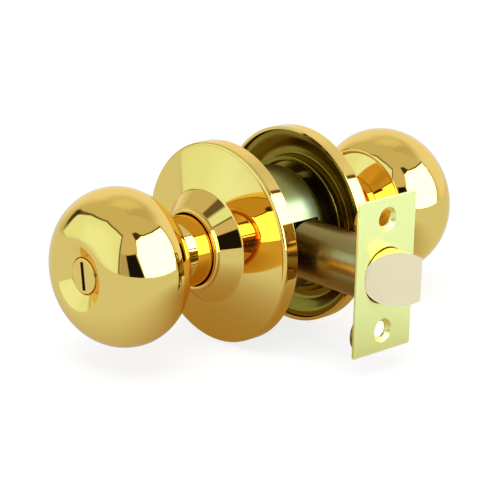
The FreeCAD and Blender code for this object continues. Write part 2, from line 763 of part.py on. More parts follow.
def latch_base_plate():
    """The steel plate behind the faceplate, with a lobe on each side of each screw hole."""
    body = new_body("base_blank")
    back = "edge_x - plate - rest_gap - base_thick"
    lobe_low = "hole_pitch / 2 - lobe_z"
    lobe_high = "hole_pitch / 2 + lobe_z"
    heights = ["-base_z", f"-({lobe_high})", f"-({lobe_low})", lobe_low, lobe_high, "base_z"]
    right = [("base_y", height) for height in heights]
    left = [("-base_y", height) for height in reversed(heights)]
    arcs = {1: "lobe_r", 3: "lobe_r", 7: "lobe_r", 9: "lobe_r"}
    pad(body, outline(body, "YZ_Plane", right + left, arcs, offset=back), "base_thick")
    cutters = []
    for height, radius in (("0", "tube_r + fit"), ("hole_pitch / 2", "base_hole"),
                           ("-hole_pitch / 2", "base_hole")):
        foot = (f"{back} - base_thick", "0", height)
        cutters.append(round_bar("Part::Cylinder", "x", foot, "3 * base_thick", Radius=radius))
    return carve("latch_base_plate", body, cutters)


def latch_tube():
    """The tube behind the faceplate, its inner end rolled over."""
    seat = "edge_x - plate - rest_gap"
    return turned("latch_tube", [
        ("tube_in", "tube_mouth"),
        ("tube_in + tube_end", "tube_mouth"),
        ("tube_in + tube_end", "tube_bore"),
        (seat, "tube_bore"),
        (seat, "tube_r"),
        ("tube_in + tube_edge", "tube_r"),
        ("tube_in", "tube_r - tube_edge"),
    ], {5: "tube_edge"}, axis="H_Axis")


def latch_end_cap():
    """The disc that seats the bolt's spring, slotted for the tail."""
    start = "tube_in + tube_end + fit"
    cap = turned("cap_blank", [
        (start, "0"),
        (f"{start} + guide_cap", "0"),
        (f"{start} + guide_cap", "tube_bore - fit"),
        (start, "tube_bore - fit"),
    ], axis="H_Axis")
    slot = block(("tube_in", "-tail / 2 - 3 * fit", "-head_z - 3 * fit"),
                 ("tube_in + 3 * guide_cap", "tail / 2 + 3 * fit", "head_z + 3 * fit"))
    return carve("latch_end_cap", cap, [slot])


def latch_bolt():
    """A round bolt, flat on the inside face and bevelled on the outside one."""
    bolt = round_bar("Part::Cylinder", "x", ("bolt_in", "0", "0"), "edge_x + throw - bolt_in",
                     Radius="bolt_r")
    flat = block(("bolt_in - plate", "bolt_flat", "-bolt_r - plate"),
                 ("edge_x + 2 * throw", "2 * bolt_r", "bolt_r + plate"))
    slope = "throw / (bolt_flat + bevel_y)"
    wedge = new_body("bevel_cutter")
    # the bevel runs on past both edges of the bolt, so the cut is clean
    triangle = outline(wedge, "XY_Plane", [
        (f"edge_x - 2 * plate * {slope}", "-bevel_y - 2 * plate"),
        (f"edge_x + throw + 2 * plate * {slope}", "bolt_flat + 2 * plate"),
        (f"edge_x + throw + 2 * plate * {slope}", "-bevel_y - 2 * plate"),
    ])
    pad(wedge, triangle, "4 * bolt_r", midplane=True)
    slot = block(("bolt_in - plate", "-tail / 2 - fit", "-bolt_r - plate"),
                 ("bolt_in + slot_deep", "tail / 2 + fit", "bolt_r + plate"))
    pin_hole = round_bar("Part::Cylinder", "y", ("pin_x", "-bolt_r - plate", "0"), "2 * bolt_r + 2 * plate",
                         Radius="pin_r + fit / 2")
    return carve("latch_bolt", bolt, [flat, wedge, slot, pin_hole])


def latch_tail():
    """The plate that joins the bolt to the retractor: a forked head, a neck and a pinned end."""
    body = new_body("tail_blank")
    half = [
        ("head_in", "fork"),
        ("head_in", "head_z"),
        ("head_in + head_x", "head_z"),
        ("head_in + head_x", "tail_z"),
        ("bolt_in + slot_deep - 4 * fit", "tail_z"),
    ]
    other_half = [(across, f"-{up}") for across, up in reversed(half)]
    fork = [("fork_end", "-fork"), ("fork_end", "fork")]
    pad(body, outline(body, "XZ_Plane", half + other_half + fork), "tail", midplane=True)
    hole = round_bar("Part::Cylinder", "y", ("pin_x", "-tail", "0"), "2 * tail", Radius="pin_r + fit / 2")
    return carve("latch_tail", body, [hole])


def tail_pin():
    pin = round_bar("Part::Cylinder", "y", ("pin_x", "-pin_y", "0"), "2 * pin_y", Radius="pin_r")
    return named(pin, "tail_pin")


def finish(obj, label, side=INSIDE):
    """Names a sub-part and turns it to its side of the door."""
    if side is not INSIDE:
        obj.Placement = FreeCAD.Placement(FreeCAD.Vector(), side)
    return named(obj, label)


def button_spring():
    start = "spindle_out"
    length = f"{on_knob('button_low')} - spindle_out"
    return spring("button_spring", "y", start, "0", "push_coil", "push_wire", length,
                  SPRING_TURNS["button"])


def bolt_spring():
    start = "tube_in + tube_end + guide_cap + fit"
    return spring("bolt_spring", "x", start, "0", "bolt_coil", "bolt_wire", f"bolt_in - ({start})",
                  SPRING_TURNS["bolt"])


# the outside button leaves its coin slot leaning a little from upright
lean = FreeCAD.Rotation(FreeCAD.Vector(0, 1, 0), -amount("slot_lean"))

parts = [
    case_shell(),
    finish(case_cover(), "case_cover", OUTSIDE),
    retractor_guide(),
    retractor(),
    retractor_springs(),
    mounting_plate(),
    mounting_screws(),
    inside_neck(),
    inside_spindle(),
    knob_catch(),
    finish(button("push_button", "push_top", "push_edge"), "push_button"),
    flat_bar("locking_bar", "-bar_in"),
    button_spring(),
    finish(release_button(), "release_button", lean.multiply(OUTSIDE)),
    finish(flat_bar("release_stem", "stem_in"), "release_stem", OUTSIDE),
    finish(liner("outside_liner"), "outside_liner", OUTSIDE),
    finish(neck("outside_neck"), "outside_neck", OUTSIDE),
    finish(spindle("outside_spindle"), "outside_spindle", OUTSIDE),
    faceplate(),
    latch_base_plate(),
    latch_tube(),
    latch_end_cap(),
    latch_bolt(),
    latch_tail(),
    tail_pin(),
    bolt_spring(),
]
for place, side in (("outside", OUTSIDE), ("inside", INSIDE)):
    for make, piece in ((rose, "rose"), (hub, "hub"), (snap_ring, "snap_ring"),
                        (knob_shell, "knob_shell"), (knob_back, "knob_back")):
        parts.append(finish(make(piece), f"{place}_{piece}", side))

doc.recompute()

faults = []
for obj in doc.Objects:
    if "Invalid" in obj.State or "Error" in obj.State:
        faults.append(f"{obj.Label}: {obj.State}")
for part in parts:
    if part.Shape.isNull() or not part.Shape.isValid() or part.Shape.Volume <= 0:
        faults.append(f"{part.Label}: no valid shape")
labels = [part.Label for part in parts]
if len(set(labels)) != len(labels):
    faults.append("two sub-parts share a name")
if faults:
    raise RuntimeError("; ".join(faults))

os.makedirs("parts", exist_ok=True)
for part in parts:
    part.Shape.exportStep(f"parts/{part.Label}.step")
    print(part.Label, len(part.Shape.Solids), round(part.Shape.Volume, 1))
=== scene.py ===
import bpy
import bmesh
import math
import numpy as np
from mathutils import Matrix, Vector


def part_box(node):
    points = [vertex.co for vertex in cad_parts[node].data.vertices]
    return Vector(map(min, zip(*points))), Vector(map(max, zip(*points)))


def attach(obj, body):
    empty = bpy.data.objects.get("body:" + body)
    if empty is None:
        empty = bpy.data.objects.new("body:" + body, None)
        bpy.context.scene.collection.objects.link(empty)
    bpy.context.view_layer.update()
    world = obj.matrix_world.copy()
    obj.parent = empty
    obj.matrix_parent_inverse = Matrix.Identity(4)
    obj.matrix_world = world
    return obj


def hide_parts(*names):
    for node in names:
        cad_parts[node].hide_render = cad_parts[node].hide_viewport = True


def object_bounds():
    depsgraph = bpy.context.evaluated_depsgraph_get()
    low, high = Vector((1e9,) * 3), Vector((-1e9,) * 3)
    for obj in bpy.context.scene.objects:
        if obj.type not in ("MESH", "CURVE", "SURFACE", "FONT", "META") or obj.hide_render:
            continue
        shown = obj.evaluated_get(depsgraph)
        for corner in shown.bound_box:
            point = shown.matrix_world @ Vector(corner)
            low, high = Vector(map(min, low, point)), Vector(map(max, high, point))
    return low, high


# A privacy knob lock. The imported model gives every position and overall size; the meshes
# here carry the turned, pressed and rolled shapes in full detail. Lengths are written in
# millimetres and made into metres where a mesh is built. On the spindle line a height is
# measured along Y, away from the middle of the door.

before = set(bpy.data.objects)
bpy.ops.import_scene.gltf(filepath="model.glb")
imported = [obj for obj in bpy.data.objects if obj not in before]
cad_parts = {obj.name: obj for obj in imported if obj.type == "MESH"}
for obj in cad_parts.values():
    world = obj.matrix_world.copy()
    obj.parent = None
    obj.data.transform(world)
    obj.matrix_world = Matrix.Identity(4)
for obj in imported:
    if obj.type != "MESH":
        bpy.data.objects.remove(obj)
cad_low, cad_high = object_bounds()

MM = 0.001
TURNS = 192
OUTSIDE = -1
INSIDE = 1
# sizes in millimetres that several pieces share, and the coin slot's
SKIN = 1.2
HUB_BORE = 11.55
SCREW_SPACING = 41.3
SLOT_HALF_WIDTH = 0.85
SLOT_HALF_LENGTH = 5.1
SLOT_DEPTH = 2.0
SLOT_LEAN = 8  # degrees from upright

# studio values: in metres, and colours
FLOOR_GAP = 0.0002
DARK = (0.06, 0.045, 0.03)
FAR_FLOOR = (0.76, 0.84, 0.85)


# ---------------------------------------------------------------- measures from the model

def across(node):
    """Largest radius of a round piece on the spindle line, in mm."""
    low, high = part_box(node)
    return (high.x - low.x) / 2 / MM


def reach(node):
    """Near and far end of a piece on the spindle line, in mm from the middle of the door."""
    low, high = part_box(node)
    near, far = sorted((abs(low.y), abs(high.y)))
    return near / MM, far / MM


def along_x(node):
    """Inner and outer end of a piece on the latch line, in mm."""
    low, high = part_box(node)
    return low.x / MM, high.x / MM


# ---------------------------------------------------------------- outlines

def arc_side(start, end, radius, step):
    """Points of a minor arc; a positive radius bulges to the right of the way along."""
    (ax, ay), (bx, by) = start, end
    chord = math.hypot(bx - ax, by - ay)
    right = ((by - ay) / chord, -(bx - ax) / chord)
    size = abs(radius)
    drop = math.sqrt(max(size * size - chord * chord / 4, 0)) * math.copysign(1, radius)
    centre = ((ax + bx) / 2 - right[0] * drop, (ay + by) / 2 - right[1] * drop)
    first = math.atan2(ay - centre[1], ax - centre[0])
    last = math.atan2(by - centre[1], bx - centre[0])
    turn = (last - first + math.pi) % (2 * math.pi) - math.pi
    count = max(6, int(abs(turn) * size / step))
    return [(centre[0] + size * math.cos(first + turn * i / count),
             centre[1] + size * math.sin(first + turn * i / count)) for i in range(count + 1)]


def straight_side(start, end, step):
    length = math.dist(start, end)
    count = max(1, int(length / step))
    return [(start[0] + (end[0] - start[0]) * i / count,
             start[1] + (end[1] - start[1]) * i / count) for i in range(count + 1)]


def trimmed(points, head, tail):
    """The polyline with a length taken off each end, and a short span left beside each cut."""
    pts = np.array(points, float)
    steps = np.hypot(*np.diff(pts, axis=0).T)
    at = np.concatenate([[0], np.cumsum(steps)])
    total = at[-1]
    head, tail = min(head, total * 0.45), min(tail, total * 0.45)
    support = min(0.12, total * 0.04)
    wanted = [head, head + support] + [a for a in at if head + 2 * support < a < total - tail - 2 * support]
    wanted += [total - tail - support, total - tail]
    return [(float(np.interp(w, at, pts[:, 0])), float(np.interp(w, at, pts[:, 1]))) for w in wanted]


def rounded_outline(corners, arcs=None, rounds=None, soft=0.12, step=0.7):
    """A closed outline through corners. arcs maps a side to its radius, rounds a corner to the
    length its rounding takes off either side; the other corners are rounded by soft."""
    arcs, rounds = arcs or {}, rounds or {}
    count = len(corners)
    cut = [rounds.get(i, soft) for i in range(count)]
    sides = []
    for i, start in enumerate(corners):
        end = corners[(i + 1) % count]
        side = arc_side(start, end, arcs[i], step) if i in arcs else straight_side(start, end, step * 2)
        sides.append(trimmed(side, cut[i], cut[(i + 1) % count]))
    outline = []
    for i, side in enumerate(sides):
        outline += side
        corner = corners[(i + 1) % count]
        a, b = side[-1], sides[(i + 1) % count][0]
        if cut[(i + 1) % count] > 0:
            for k in range(1, 5):
                t = k / 5
                outline.append(tuple((1 - t) ** 2 * a[j] + 2 * t * (1 - t) * corner[j] + t * t * b[j]
                                     for j in (0, 1)))
    return outline


# ---------------------------------------------------------------- meshes

def mesh_object(name, vertices, faces):
    mesh = bpy.data.meshes.new(name)
    mesh.from_pydata(vertices, [], faces)
    mesh.validate()
    shaper = bmesh.new()
    shaper.from_mesh(mesh)
    bmesh.ops.remove_doubles(shaper, verts=shaper.verts, dist=1e-7)
    bmesh.ops.recalc_face_normals(shaper, faces=shaper.faces)
    shaper.to_mesh(mesh)
    shaper.free()
    mesh.shade_smooth()
    piece = bpy.data.objects.new(name, mesh)
    bpy.context.scene.collection.objects.link(piece)
    return piece


def lathe(name, outline, axis="y", side=INSIDE, turns=TURNS):
    """A closed (radius, along) outline turned round the Y or X line."""
    count = len(outline)
    vertices, faces = [], []
    for t in range(turns):
        angle = 2 * math.pi * t / turns
        c, s = math.cos(angle), math.sin(angle)
        for r, h in outline:
            if axis == "y":
                vertices.append((r * c * MM, side * h * MM, r * s * MM))
            else:
                vertices.append((h * MM, r * c * MM, r * s * MM))
    for t in range(turns):
        a, b = t * count, (t + 1) % turns * count
        for i in range(count):
            j = (i + 1) % count
            faces.append((a + i, a + j, b + j, b + i))
    return mesh_object(name, vertices, faces)


def finished_mesh(piece):
    """The piece's mesh with its modifiers or its curve worked out."""
    bpy.context.view_layer.update()
    graph = bpy.context.evaluated_depsgraph_get()
    return bpy.data.meshes.new_from_object(piece.evaluated_get(graph))


def cut_away(piece, cutters):
    """Takes the cutters out of the piece for good."""
    for cutter in cutters:
        change = piece.modifiers.new("cut", "BOOLEAN")
        change.object = cutter
        change.operation = "DIFFERENCE"
        change.solver = "EXACT"
    mesh = finished_mesh(piece)
    piece.modifiers.clear()
    piece.data = mesh
    for cutter in cutters:
        bpy.data.objects.remove(cutter)
    return piece


def box_cutter(low, high):
    (x0, y0, z0), (x1, y1, z1) = low, high
    vertices = [(x * MM, y * MM, z * MM) for x in (x0, x1) for y in (y0, y1) for z in (z0, z1)]
    faces = [(0, 1, 3, 2), (4, 6, 7, 5), (0, 4, 5, 1), (2, 3, 7, 6), (0, 2, 6, 4), (1, 5, 7, 3)]
    return mesh_object("cutter", vertices, faces)


def sharpen(piece, degrees=30):
    piece.data.shade_smooth()
    piece.data.set_sharp_from_angle(angle=math.radians(degrees))
    return piece


def settle(piece, body, slot, material, *nodes):
    """Gives a finished piece its material, its body and the CAD nodes it stands for."""
    piece.data.materials.clear()
    piece.data.materials.append(material)
    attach(piece, body)
    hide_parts(*nodes)
    return piece


# ---------------------------------------------------------------- node helpers

class Value:
    """A socket that ordinary arithmetic can be written on."""

    def __init__(self, tree, socket):
        self.tree = tree
        self.socket = socket

    def op(self, kind, *others):
        node = self.tree.nodes.new("ShaderNodeMath")
        node.operation = kind
        for slot, value in enumerate((self,) + others):
            if isinstance(value, Value):
                self.tree.links.new(value.socket, node.inputs[slot])
            else:
                node.inputs[slot].default_value = value
        return Value(self.tree, node.outputs[0])

    def __add__(self, other):
        return self.op("ADD", other)

    def __sub__(self, other):
        return self.op("SUBTRACT", other)

    def __mul__(self, other):
        return self.op("MULTIPLY", other)

    def __truediv__(self, other):
        return self.op("DIVIDE", other)

    def rise(self, low, high):
        """0 below low, 1 above high, smooth between them; the other way round if low is above high."""
        node = self.tree.nodes.new("ShaderNodeMapRange")
        node.interpolation_type = "SMOOTHSTEP"
        self.tree.links.new(self.socket, node.inputs["Value"])
        node.inputs["From Min"].default_value = min(low, high)
        node.inputs["From Max"].default_value = max(low, high)
        node.inputs["To Min"].default_value = 0 if low < high else 1
        node.inputs["To Max"].default_value = 1 if low < high else 0
        return Value(self.tree, node.outputs["Result"])

    def band(self, low, high, soft):
        return self.rise(low - soft, low + soft) * self.rise(high + soft, high - soft)


def mix_colour(tree, share, first, second):
    node = tree.nodes.new("ShaderNodeMix")
    node.data_type = "RGBA"
    for socket, value in ((node.inputs[0], share), (node.inputs[6], first), (node.inputs[7], second)):
        if isinstance(value, Value):
            tree.links.new(value.socket, socket)
        elif isinstance(value, tuple):
            socket.default_value = (*value, 1)
        else:
            socket.default_value = value
    return Value(tree, node.outputs[2])


def separate(tree, socket):
    node = tree.nodes.new("ShaderNodeSeparateXYZ")
    tree.links.new(socket, node.inputs[0])
    return [Value(tree, node.outputs[i]) for i in range(3)]


def region(az, el, corners, soft):
    """1 inside a convex patch of sky given by its (azimuth, elevation) corners, in degrees."""
    area = sum(a[0] * b[1] - b[0] * a[1] for a, b in zip(corners, corners[1:] + corners[:1]))
    way = math.copysign(1, area)
    inside = None
    for (ax, ay), (bx, by) in zip(corners, corners[1:] + corners[:1]):
        length = math.hypot(bx - ax, by - ay)
        nx, ny = -way * (by - ay) / length, way * (bx - ax) / length
        distance = az * nx + el * ny - (ax * nx + ay * ny)
        edge = distance.rise(-soft, soft)
        inside = edge if inside is None else inside.op("MINIMUM", edge)
    return inside


# ---------------------------------------------------------------- studio

def cooled(tree, colour):
    """What reflections see is cool, so that warm metal looks right once and deep gold when seen twice."""
    node = tree.nodes.new("ShaderNodeVectorMath")
    node.operation = "MULTIPLY"
    tree.links.new(colour.socket, node.inputs[0])
    node.inputs[1].default_value = (0.98, 1.17, 1.75)
    return node.outputs[0]


def show_to_reflections(tree, plain, mirrored, output):
    """Reflections see the mirrored shader and every other ray sees the plain one."""
    path = tree.nodes.new("ShaderNodeLightPath")
    choose = tree.nodes.new("ShaderNodeMixShader")
    tree.links.new(path.outputs["Is Glossy Ray"], choose.inputs[0])
    tree.links.new(plain.outputs[0], choose.inputs[1])
    tree.links.new(mirrored.outputs[0], choose.inputs[2])
    tree.links.new(choose.outputs[0], output.inputs["Surface"])


# A patch is its corners, as (azimuth, elevation) in degrees, then its colour and its edge's softness.

def panel_patches():
    """The big left panel in its dark frame, running into the floor at its lower left."""
    return [
        ([(-88, 20), (-60, 42), (-28, 56.5), (5, 56), (24.5, 52), (17, -10), (-20, -9.2), (-78, 3)],
         (0.16, 0.13, 0.09), 1.2),
        ([(-80, 18), (-58, 39), (-27, 53.5), (5, 53), (21.5, 49.5), (14.5, -8.4), (-20, -8), (-75, 2)],
         (0.90, 1.16, 1.15), 1.0),
        ([(-52, 30), (-20, 44), (5, 40), (8, 0), (-40, 0)], (0.98, 1.26, 1.42), 9),
        ([(-85, 24), (-76, 27), (-73, 5), (-79, 10)], DARK, 2),
        ([(-74, -2), (-30, 7), (-14, 0), (-20, -14), (-70, -14)], (0.82, 1.0, 1.05), 5)]


def flag_patches():
    """The gap beside the panel and the black flags in it."""
    return [
        ([(22, 25), (56, 25), (54, 57), (26, 57)], (0.70, 0.66, 0.55), 1.5),
        ([(19, -10), (22, 25), (36, 26), (40, -12)], (0.52, 0.48, 0.40), 1.5),
        ([(32.5, 25.5), (53, 30.5), (68, -3), (41, -14)], (0.012, 0.010, 0.010), 1.0),
        ([(64, -1), (64, -13), (136, -4), (136, -2.4)], (0.03, 0.022, 0.015), 1.0),
        ([(51, 60), (66, 62), (84, 56), (60, 47)], DARK, 1.4)]


def soft_box_patches():
    """The soft box with its thin frame, and the ceiling's lighter spot."""
    return [
        ([(56.5, 29), (59, 50.5), (76, 57), (104, 56.5), (132, 52.5), (163, 43), (147, 15),
          (142, -3), (69, -3)], (0.12, 0.09, 0.06), 1.0),
        ([(57, 29), (60, 49), (77, 54.6), (104, 54), (132, 50), (158, 42), (145, 15),
          (141, -2.2), (69, -1.6)], (4.2, 4.3, 4.8), 1.0),
        ([(-168, 62), (-150, 78), (-100, 78), (-85, 62), (-110, 52), (-150, 52)], (0.80, 0.80, 0.62), 9)]


def painted_sky(tree):
    """The colour that a reflection meets in each direction."""
    where = tree.nodes.new("ShaderNodeTexCoord")
    x, y, z = separate(tree, where.outputs["Generated"])
    degrees = 180 / math.pi
    az = x.op("ARCTAN2", y * -1) * degrees
    el = z.op("ARCSINE") * degrees
    floor = mix_colour(tree, el.rise(-20, -75), FAR_FLOOR, (0.64, 0.62, 0.52))
    above = mix_colour(tree, el.rise(35, 62), (0.95, 0.97, 1.0), (0.58, 0.56, 0.44))
    colour = mix_colour(tree, el.rise(-16, 4), floor, above)
    front = az.band(-95, 150, 12) * el.rise(-12, -4)
    colour = mix_colour(tree, front, colour, (0.66, 0.65, 0.52))
    for corners, tint, soft in panel_patches() + flag_patches() + soft_box_patches():
        colour = mix_colour(tree, region(az, el, corners, soft), colour, tint)
    return colour


def studio_world():
    """A soft studio: white to the camera, and panels, flags and a soft box to reflections."""
    world = bpy.data.worlds.new("studio")
    bpy.context.scene.world = world
    world.use_nodes = True
    tree = world.node_tree
    tree.nodes.clear()
    soft_white = tree.nodes.new("ShaderNodeBackground")
    soft_white.inputs["Color"].default_value = (1, 1, 1, 1)
    glossy = tree.nodes.new("ShaderNodeBackground")
    tree.links.new(cooled(tree, painted_sky(tree)), glossy.inputs["Color"])
    show_to_reflections(tree, soft_white, glossy, tree.nodes.new("ShaderNodeOutputWorld"))


def studio_floor():
    """A pale floor just under the roses; it takes a soft shadow. Reflections see it glow, with painted
    shade: dark gold near the lock.
    """
    low = cad_low.z - FLOOR_GAP
    half = 3.0
    corners = [(-half, -half, low), (half, -half, low), (half, half, low), (-half, half, low)]
    floor = mesh_object("floor", corners, [(0, 1, 2, 3)])
    material = bpy.data.materials.new("pale_floor")
    material.use_nodes = True
    tree = material.node_tree
    tree.nodes.clear()
    matt = tree.nodes.new("ShaderNodeBsdfDiffuse")
    matt.inputs["Color"].default_value = (0.9, 0.9, 0.89, 1)
    glow = tree.nodes.new("ShaderNodeEmission")
    glow.inputs["Color"].default_value = (1, 1, 1, 1)
    glow.inputs["Strength"].default_value = 1.0
    blend = tree.nodes.new("ShaderNodeMixShader")
    blend.inputs[0].default_value = 0.80
    tree.links.new(matt.outputs[0], blend.inputs[1])
    tree.links.new(glow.outputs[0], blend.inputs[2])
    where = tree.nodes.new("ShaderNodeTexCoord")
    x, y = separate(tree, where.outputs["Object"])[:2]
    # painted shade and painted reflection: to reflections the floor glows dark and gold-tinted near the
    # lock, in place of the lock's shade and the brass's light on it
    away = (x * x * 0.5 + y * y).op("SQRT")
    painted_floor_shade = mix_colour(tree, away.rise(0.02, 0.12), (0.42, 0.28, 0.10), FAR_FLOOR)
    mirrored = tree.nodes.new("ShaderNodeEmission")
    tree.links.new(cooled(tree, painted_floor_shade), mirrored.inputs["Color"])
    show_to_reflections(tree, blend, mirrored, tree.nodes.new("ShaderNodeOutputMaterial"))
    floor.data.materials.append(material)


def studio_lamp():
    lamp = bpy.data.lights.new("lamp", "AREA")
    lamp.shape = "DISK"
    lamp.size = 0.9
    lamp.energy = 9
    holder = bpy.data.objects.new("lamp", lamp)
    bpy.context.scene.collection.objects.link(holder)
    holder.location = (0.25, -0.35, 0.95)
    holder.rotation_mode = "QUATERNION"
    holder.rotation_quaternion = (-holder.location).to_track_quat("-Z", "Y")
    holder.visible_glossy = False
    holder.visible_camera = False


def studio_camera():
    """Looks from the outside, over the latch, slightly down, through a long lens."""
    turn, lift, roll = math.radians(46.837), math.radians(17.816), math.radians(1.436)
    back = Vector((math.sin(turn) * math.cos(lift), -math.cos(turn) * math.cos(lift), math.sin(lift)))
    right = Vector((math.cos(turn), math.sin(turn), 0))
    up = back.cross(right)
    side = math.cos(roll) * right + math.sin(roll) * up
    top = -math.sin(roll) * right + math.cos(roll) * up
    camera = bpy.data.cameras.new("camera")
    camera.sensor_width = 36
    camera.lens = 147.09
    camera.clip_start, camera.clip_end = 0.05, 20
    holder = bpy.data.objects.new("camera", camera)
    bpy.context.scene.collection.objects.link(holder)
    turn_matrix = Matrix((side, top, back)).transposed().to_4x4()
    holder.matrix_world = Matrix.Translation((0.5283, -0.50012, 0.22673)) @ turn_matrix
    bpy.context.scene.camera = holder
    bpy.context.scene.view_settings.view_transform = "Standard"


# ---------------------------------------------------------------- materials

def new_material(name):
    material = bpy.data.materials.new(name)
    material.use_nodes = True
    tree = material.node_tree
    shader = tree.nodes["Principled BSDF"]
    shader.inputs["Specular Tint"].default_value = (1, 0.86, 0.6, 1)
    where = tree.nodes.new("ShaderNodeTexCoord")
    return material, tree, shader, where.outputs["Object"]


def noise(tree, vector, scale, detail=3.0, roughness=0.5):
    node = tree.nodes.new("ShaderNodeTexNoise")
    node.inputs["Scale"].default_value = scale
    node.inputs["Detail"].default_value = detail
    node.inputs["Roughness"].default_value = roughness
    tree.links.new(vector, node.inputs["Vector"])
    return Value(tree, node.outputs["Fac"])


def combine(tree, x, y, z):
    node = tree.nodes.new("ShaderNodeCombineXYZ")
    for slot, value in enumerate((x, y, z)):
        if isinstance(value, Value):
            tree.links.new(value.socket, node.inputs[slot])
        else:
            node.inputs[slot].default_value = value
    return node.outputs[0]


def put(tree, value, socket):
    if isinstance(value, Value):
        tree.links.new(value.socket, socket)
    elif isinstance(value, tuple):
        socket.default_value = (*value, 1)
    else:
        socket.default_value = value


def bump(tree, height, distance, strength=1.0):
    node = tree.nodes.new("ShaderNodeBump")
    node.inputs["Strength"].default_value = strength
    node.inputs["Distance"].default_value = distance
    tree.links.new(height.socket, node.inputs["Height"])
    return node.outputs["Normal"]


def turning_marks(tree, vector, axis, scale):
    """Fine rings round the Y or X line, as a lathe or a polishing mop leaves them."""
    x, y, z = separate(tree, vector)
    u, v, w = (x, z, y) if axis == "y" else (y, z, x)
    radius = (u * u + v * v).op("SQRT")
    return noise(tree, combine(tree, radius * scale, w * scale, 0.0), 1.0, 2.0)


def polished_brass():
    material, tree, shader, where = new_material("polished_brass")
    smear = noise(tree, where, 90, 4)
    tone = noise(tree, where, 30, 2)
    rings = turning_marks(tree, where, "y", 9000)
    colour = mix_colour(tree, tone, (0.905, 0.545, 0.108), (0.895, 0.525, 0.096))
    put(tree, colour, shader.inputs["Base Color"])
    shader.inputs["Metallic"].default_value = 1
    put(tree, smear.rise(0.35, 0.8) * 0.035 + 0.012, shader.inputs["Roughness"])
    tree.links.new(bump(tree, rings, 0.00000025), shader.inputs["Normal"])
    return material


def simple_metal(name, colour, second, roughness, grain=2500, depth=0.000002):
    """A worked metal: cloudy colour, uneven sheen and a fine grain."""
    material, tree, shader, where = new_material(name)
    cloud = noise(tree, where, 160, 4)
    fine = noise(tree, where, grain, 2)
    put(tree, mix_colour(tree, cloud, colour, second), shader.inputs["Base Color"])
    shader.inputs["Metallic"].default_value = 1
    put(tree, cloud * 0.12 + (roughness - 0.06), shader.inputs["Roughness"])
    tree.links.new(bump(tree, fine, depth), shader.inputs["Normal"])
    return material


def iridescent_zinc(name, face, flank, edge, roughness):
    """Chromated zinc: its hue drifts with the angle it is seen at and with the film's cloudiness."""
    material, tree, shader, where = new_material(name)
    facing = tree.nodes.new("ShaderNodeLayerWeight")
    facing.inputs["Blend"].default_value = 0.5
    cloud = noise(tree, where, 70, 5, 0.6)
    shift = Value(tree, facing.outputs["Facing"]) + (cloud - 0.5) * 0.5
    inner = mix_colour(tree, shift.rise(0.05, 0.45), face, flank)
    colour = mix_colour(tree, shift.rise(0.5, 0.95), inner, edge)
    put(tree, colour, shader.inputs["Base Color"])
    shader.inputs["Metallic"].default_value = 1
    put(tree, cloud * 0.16 + (roughness - 0.08), shader.inputs["Roughness"])
    grain = noise(tree, where, 3000, 2)
    tree.links.new(bump(tree, grain, 0.0000015), shader.inputs["Normal"])
    return material


def satin_brass():
    """The faceplate: brushed upright, pale and slightly green."""
    material, tree, shader, where = new_material("satin_brass")
    x, y, z = separate(tree, where)
    strokes = noise(tree, combine(tree, x * 500, y * 9000, z * 400), 1.0, 3)
    cloud = noise(tree, where, 120, 3)
    put(tree, mix_colour(tree, cloud, (0.94, 0.84, 0.25), (0.90, 0.80, 0.22)), shader.inputs["Base Color"])
    shader.inputs["Metallic"].default_value = 1
    put(tree, strokes * 0.15 + 0.28, shader.inputs["Roughness"])
    tree.links.new(bump(tree, strokes, 0.000002), shader.inputs["Normal"])
    return material


def matt_face():
    """The bolt's bevel: blasted and lacquered, so it hardly reflects."""
    material, tree, shader, where = new_material("bolt_bevel")
    cloud = noise(tree, where, 220, 4)
    put(tree, mix_colour(tree, cloud, (0.62, 0.57, 0.38), (0.57, 0.52, 0.35)), shader.inputs["Base Color"])
    put(tree, cloud * 0.1 + 0.45, shader.inputs["Roughness"])
    grain = noise(tree, where, 6000, 2)
    tree.links.new(bump(tree, grain, 0.000004), shader.inputs["Normal"])
    return material


# painted shade: a near-black metal for the coin slot's inner walls, standing in for the shade deep in the
# slot
def slot_shade_material():
    return simple_metal("painted_slot_shade", (0.05, 0.03, 0.015), (0.08, 0.05, 0.02), 0.5)


# ---------------------------------------------------------------- the spindle line

def knob_shell(side, name, node, body, material):
    radius = across(node)
    far = reach(node)[1]
    skin = SKIN
    front, rear, dip_arc = 20.1, 17.5, 3.6
    crimp_r, crimp_in, lip_r, dip_r, hole = 22.6, 21.3, 14.3, 11.7, 6.65
    crimp_h = -math.sqrt(rear ** 2 - (crimp_r - radius + rear) ** 2)
    crimp_inner_h = -math.sqrt((rear - skin) ** 2 - (crimp_r - skin / 2 - radius + rear) ** 2)
    lip_h = math.sqrt(front ** 2 - (lip_r - radius + front) ** 2)
    lip_inner_h = math.sqrt((front - skin) ** 2 - (lip_r - radius + front) ** 2)
    dip_h, dish_h = 19.08, 16.4
    half_chord = math.hypot(lip_r - dip_r, lip_h - dip_h) / 2
    sunk = math.sqrt(dip_arc ** 2 - half_chord ** 2) * (lip_r - dip_r) / (2 * half_chord)
    crest = (lip_h + dip_h) / 2 - sunk + dip_arc
    mid = far - crest
    corners = [(crimp_r, crimp_h), (radius, 0), (lip_r, lip_h), (dip_r, dip_h), (hole, dish_h),
               (hole, dish_h - skin), (dip_r + skin / 4, dip_h - skin), (lip_r, lip_inner_h),
               (radius - skin, 0), (crimp_r - skin / 2, crimp_inner_h), (crimp_in, crimp_h + skin / 2)]
    arcs = {0: rear, 1: front, 2: dip_arc, 6: skin - dip_arc, 7: skin - front, 8: skin - rear, 10: 0.8}
    rounds = {1: 0, 2: 0.3, 3: 0.25, 4: 0.35, 5: 0.1, 8: 0, 0: 0.15}
    outline = [(r, mid + h) for r, h in rounded_outline(corners, arcs, rounds, step=0.45)]
    settle(lathe(name, outline, side=side), body, "polished_brass", material, node)


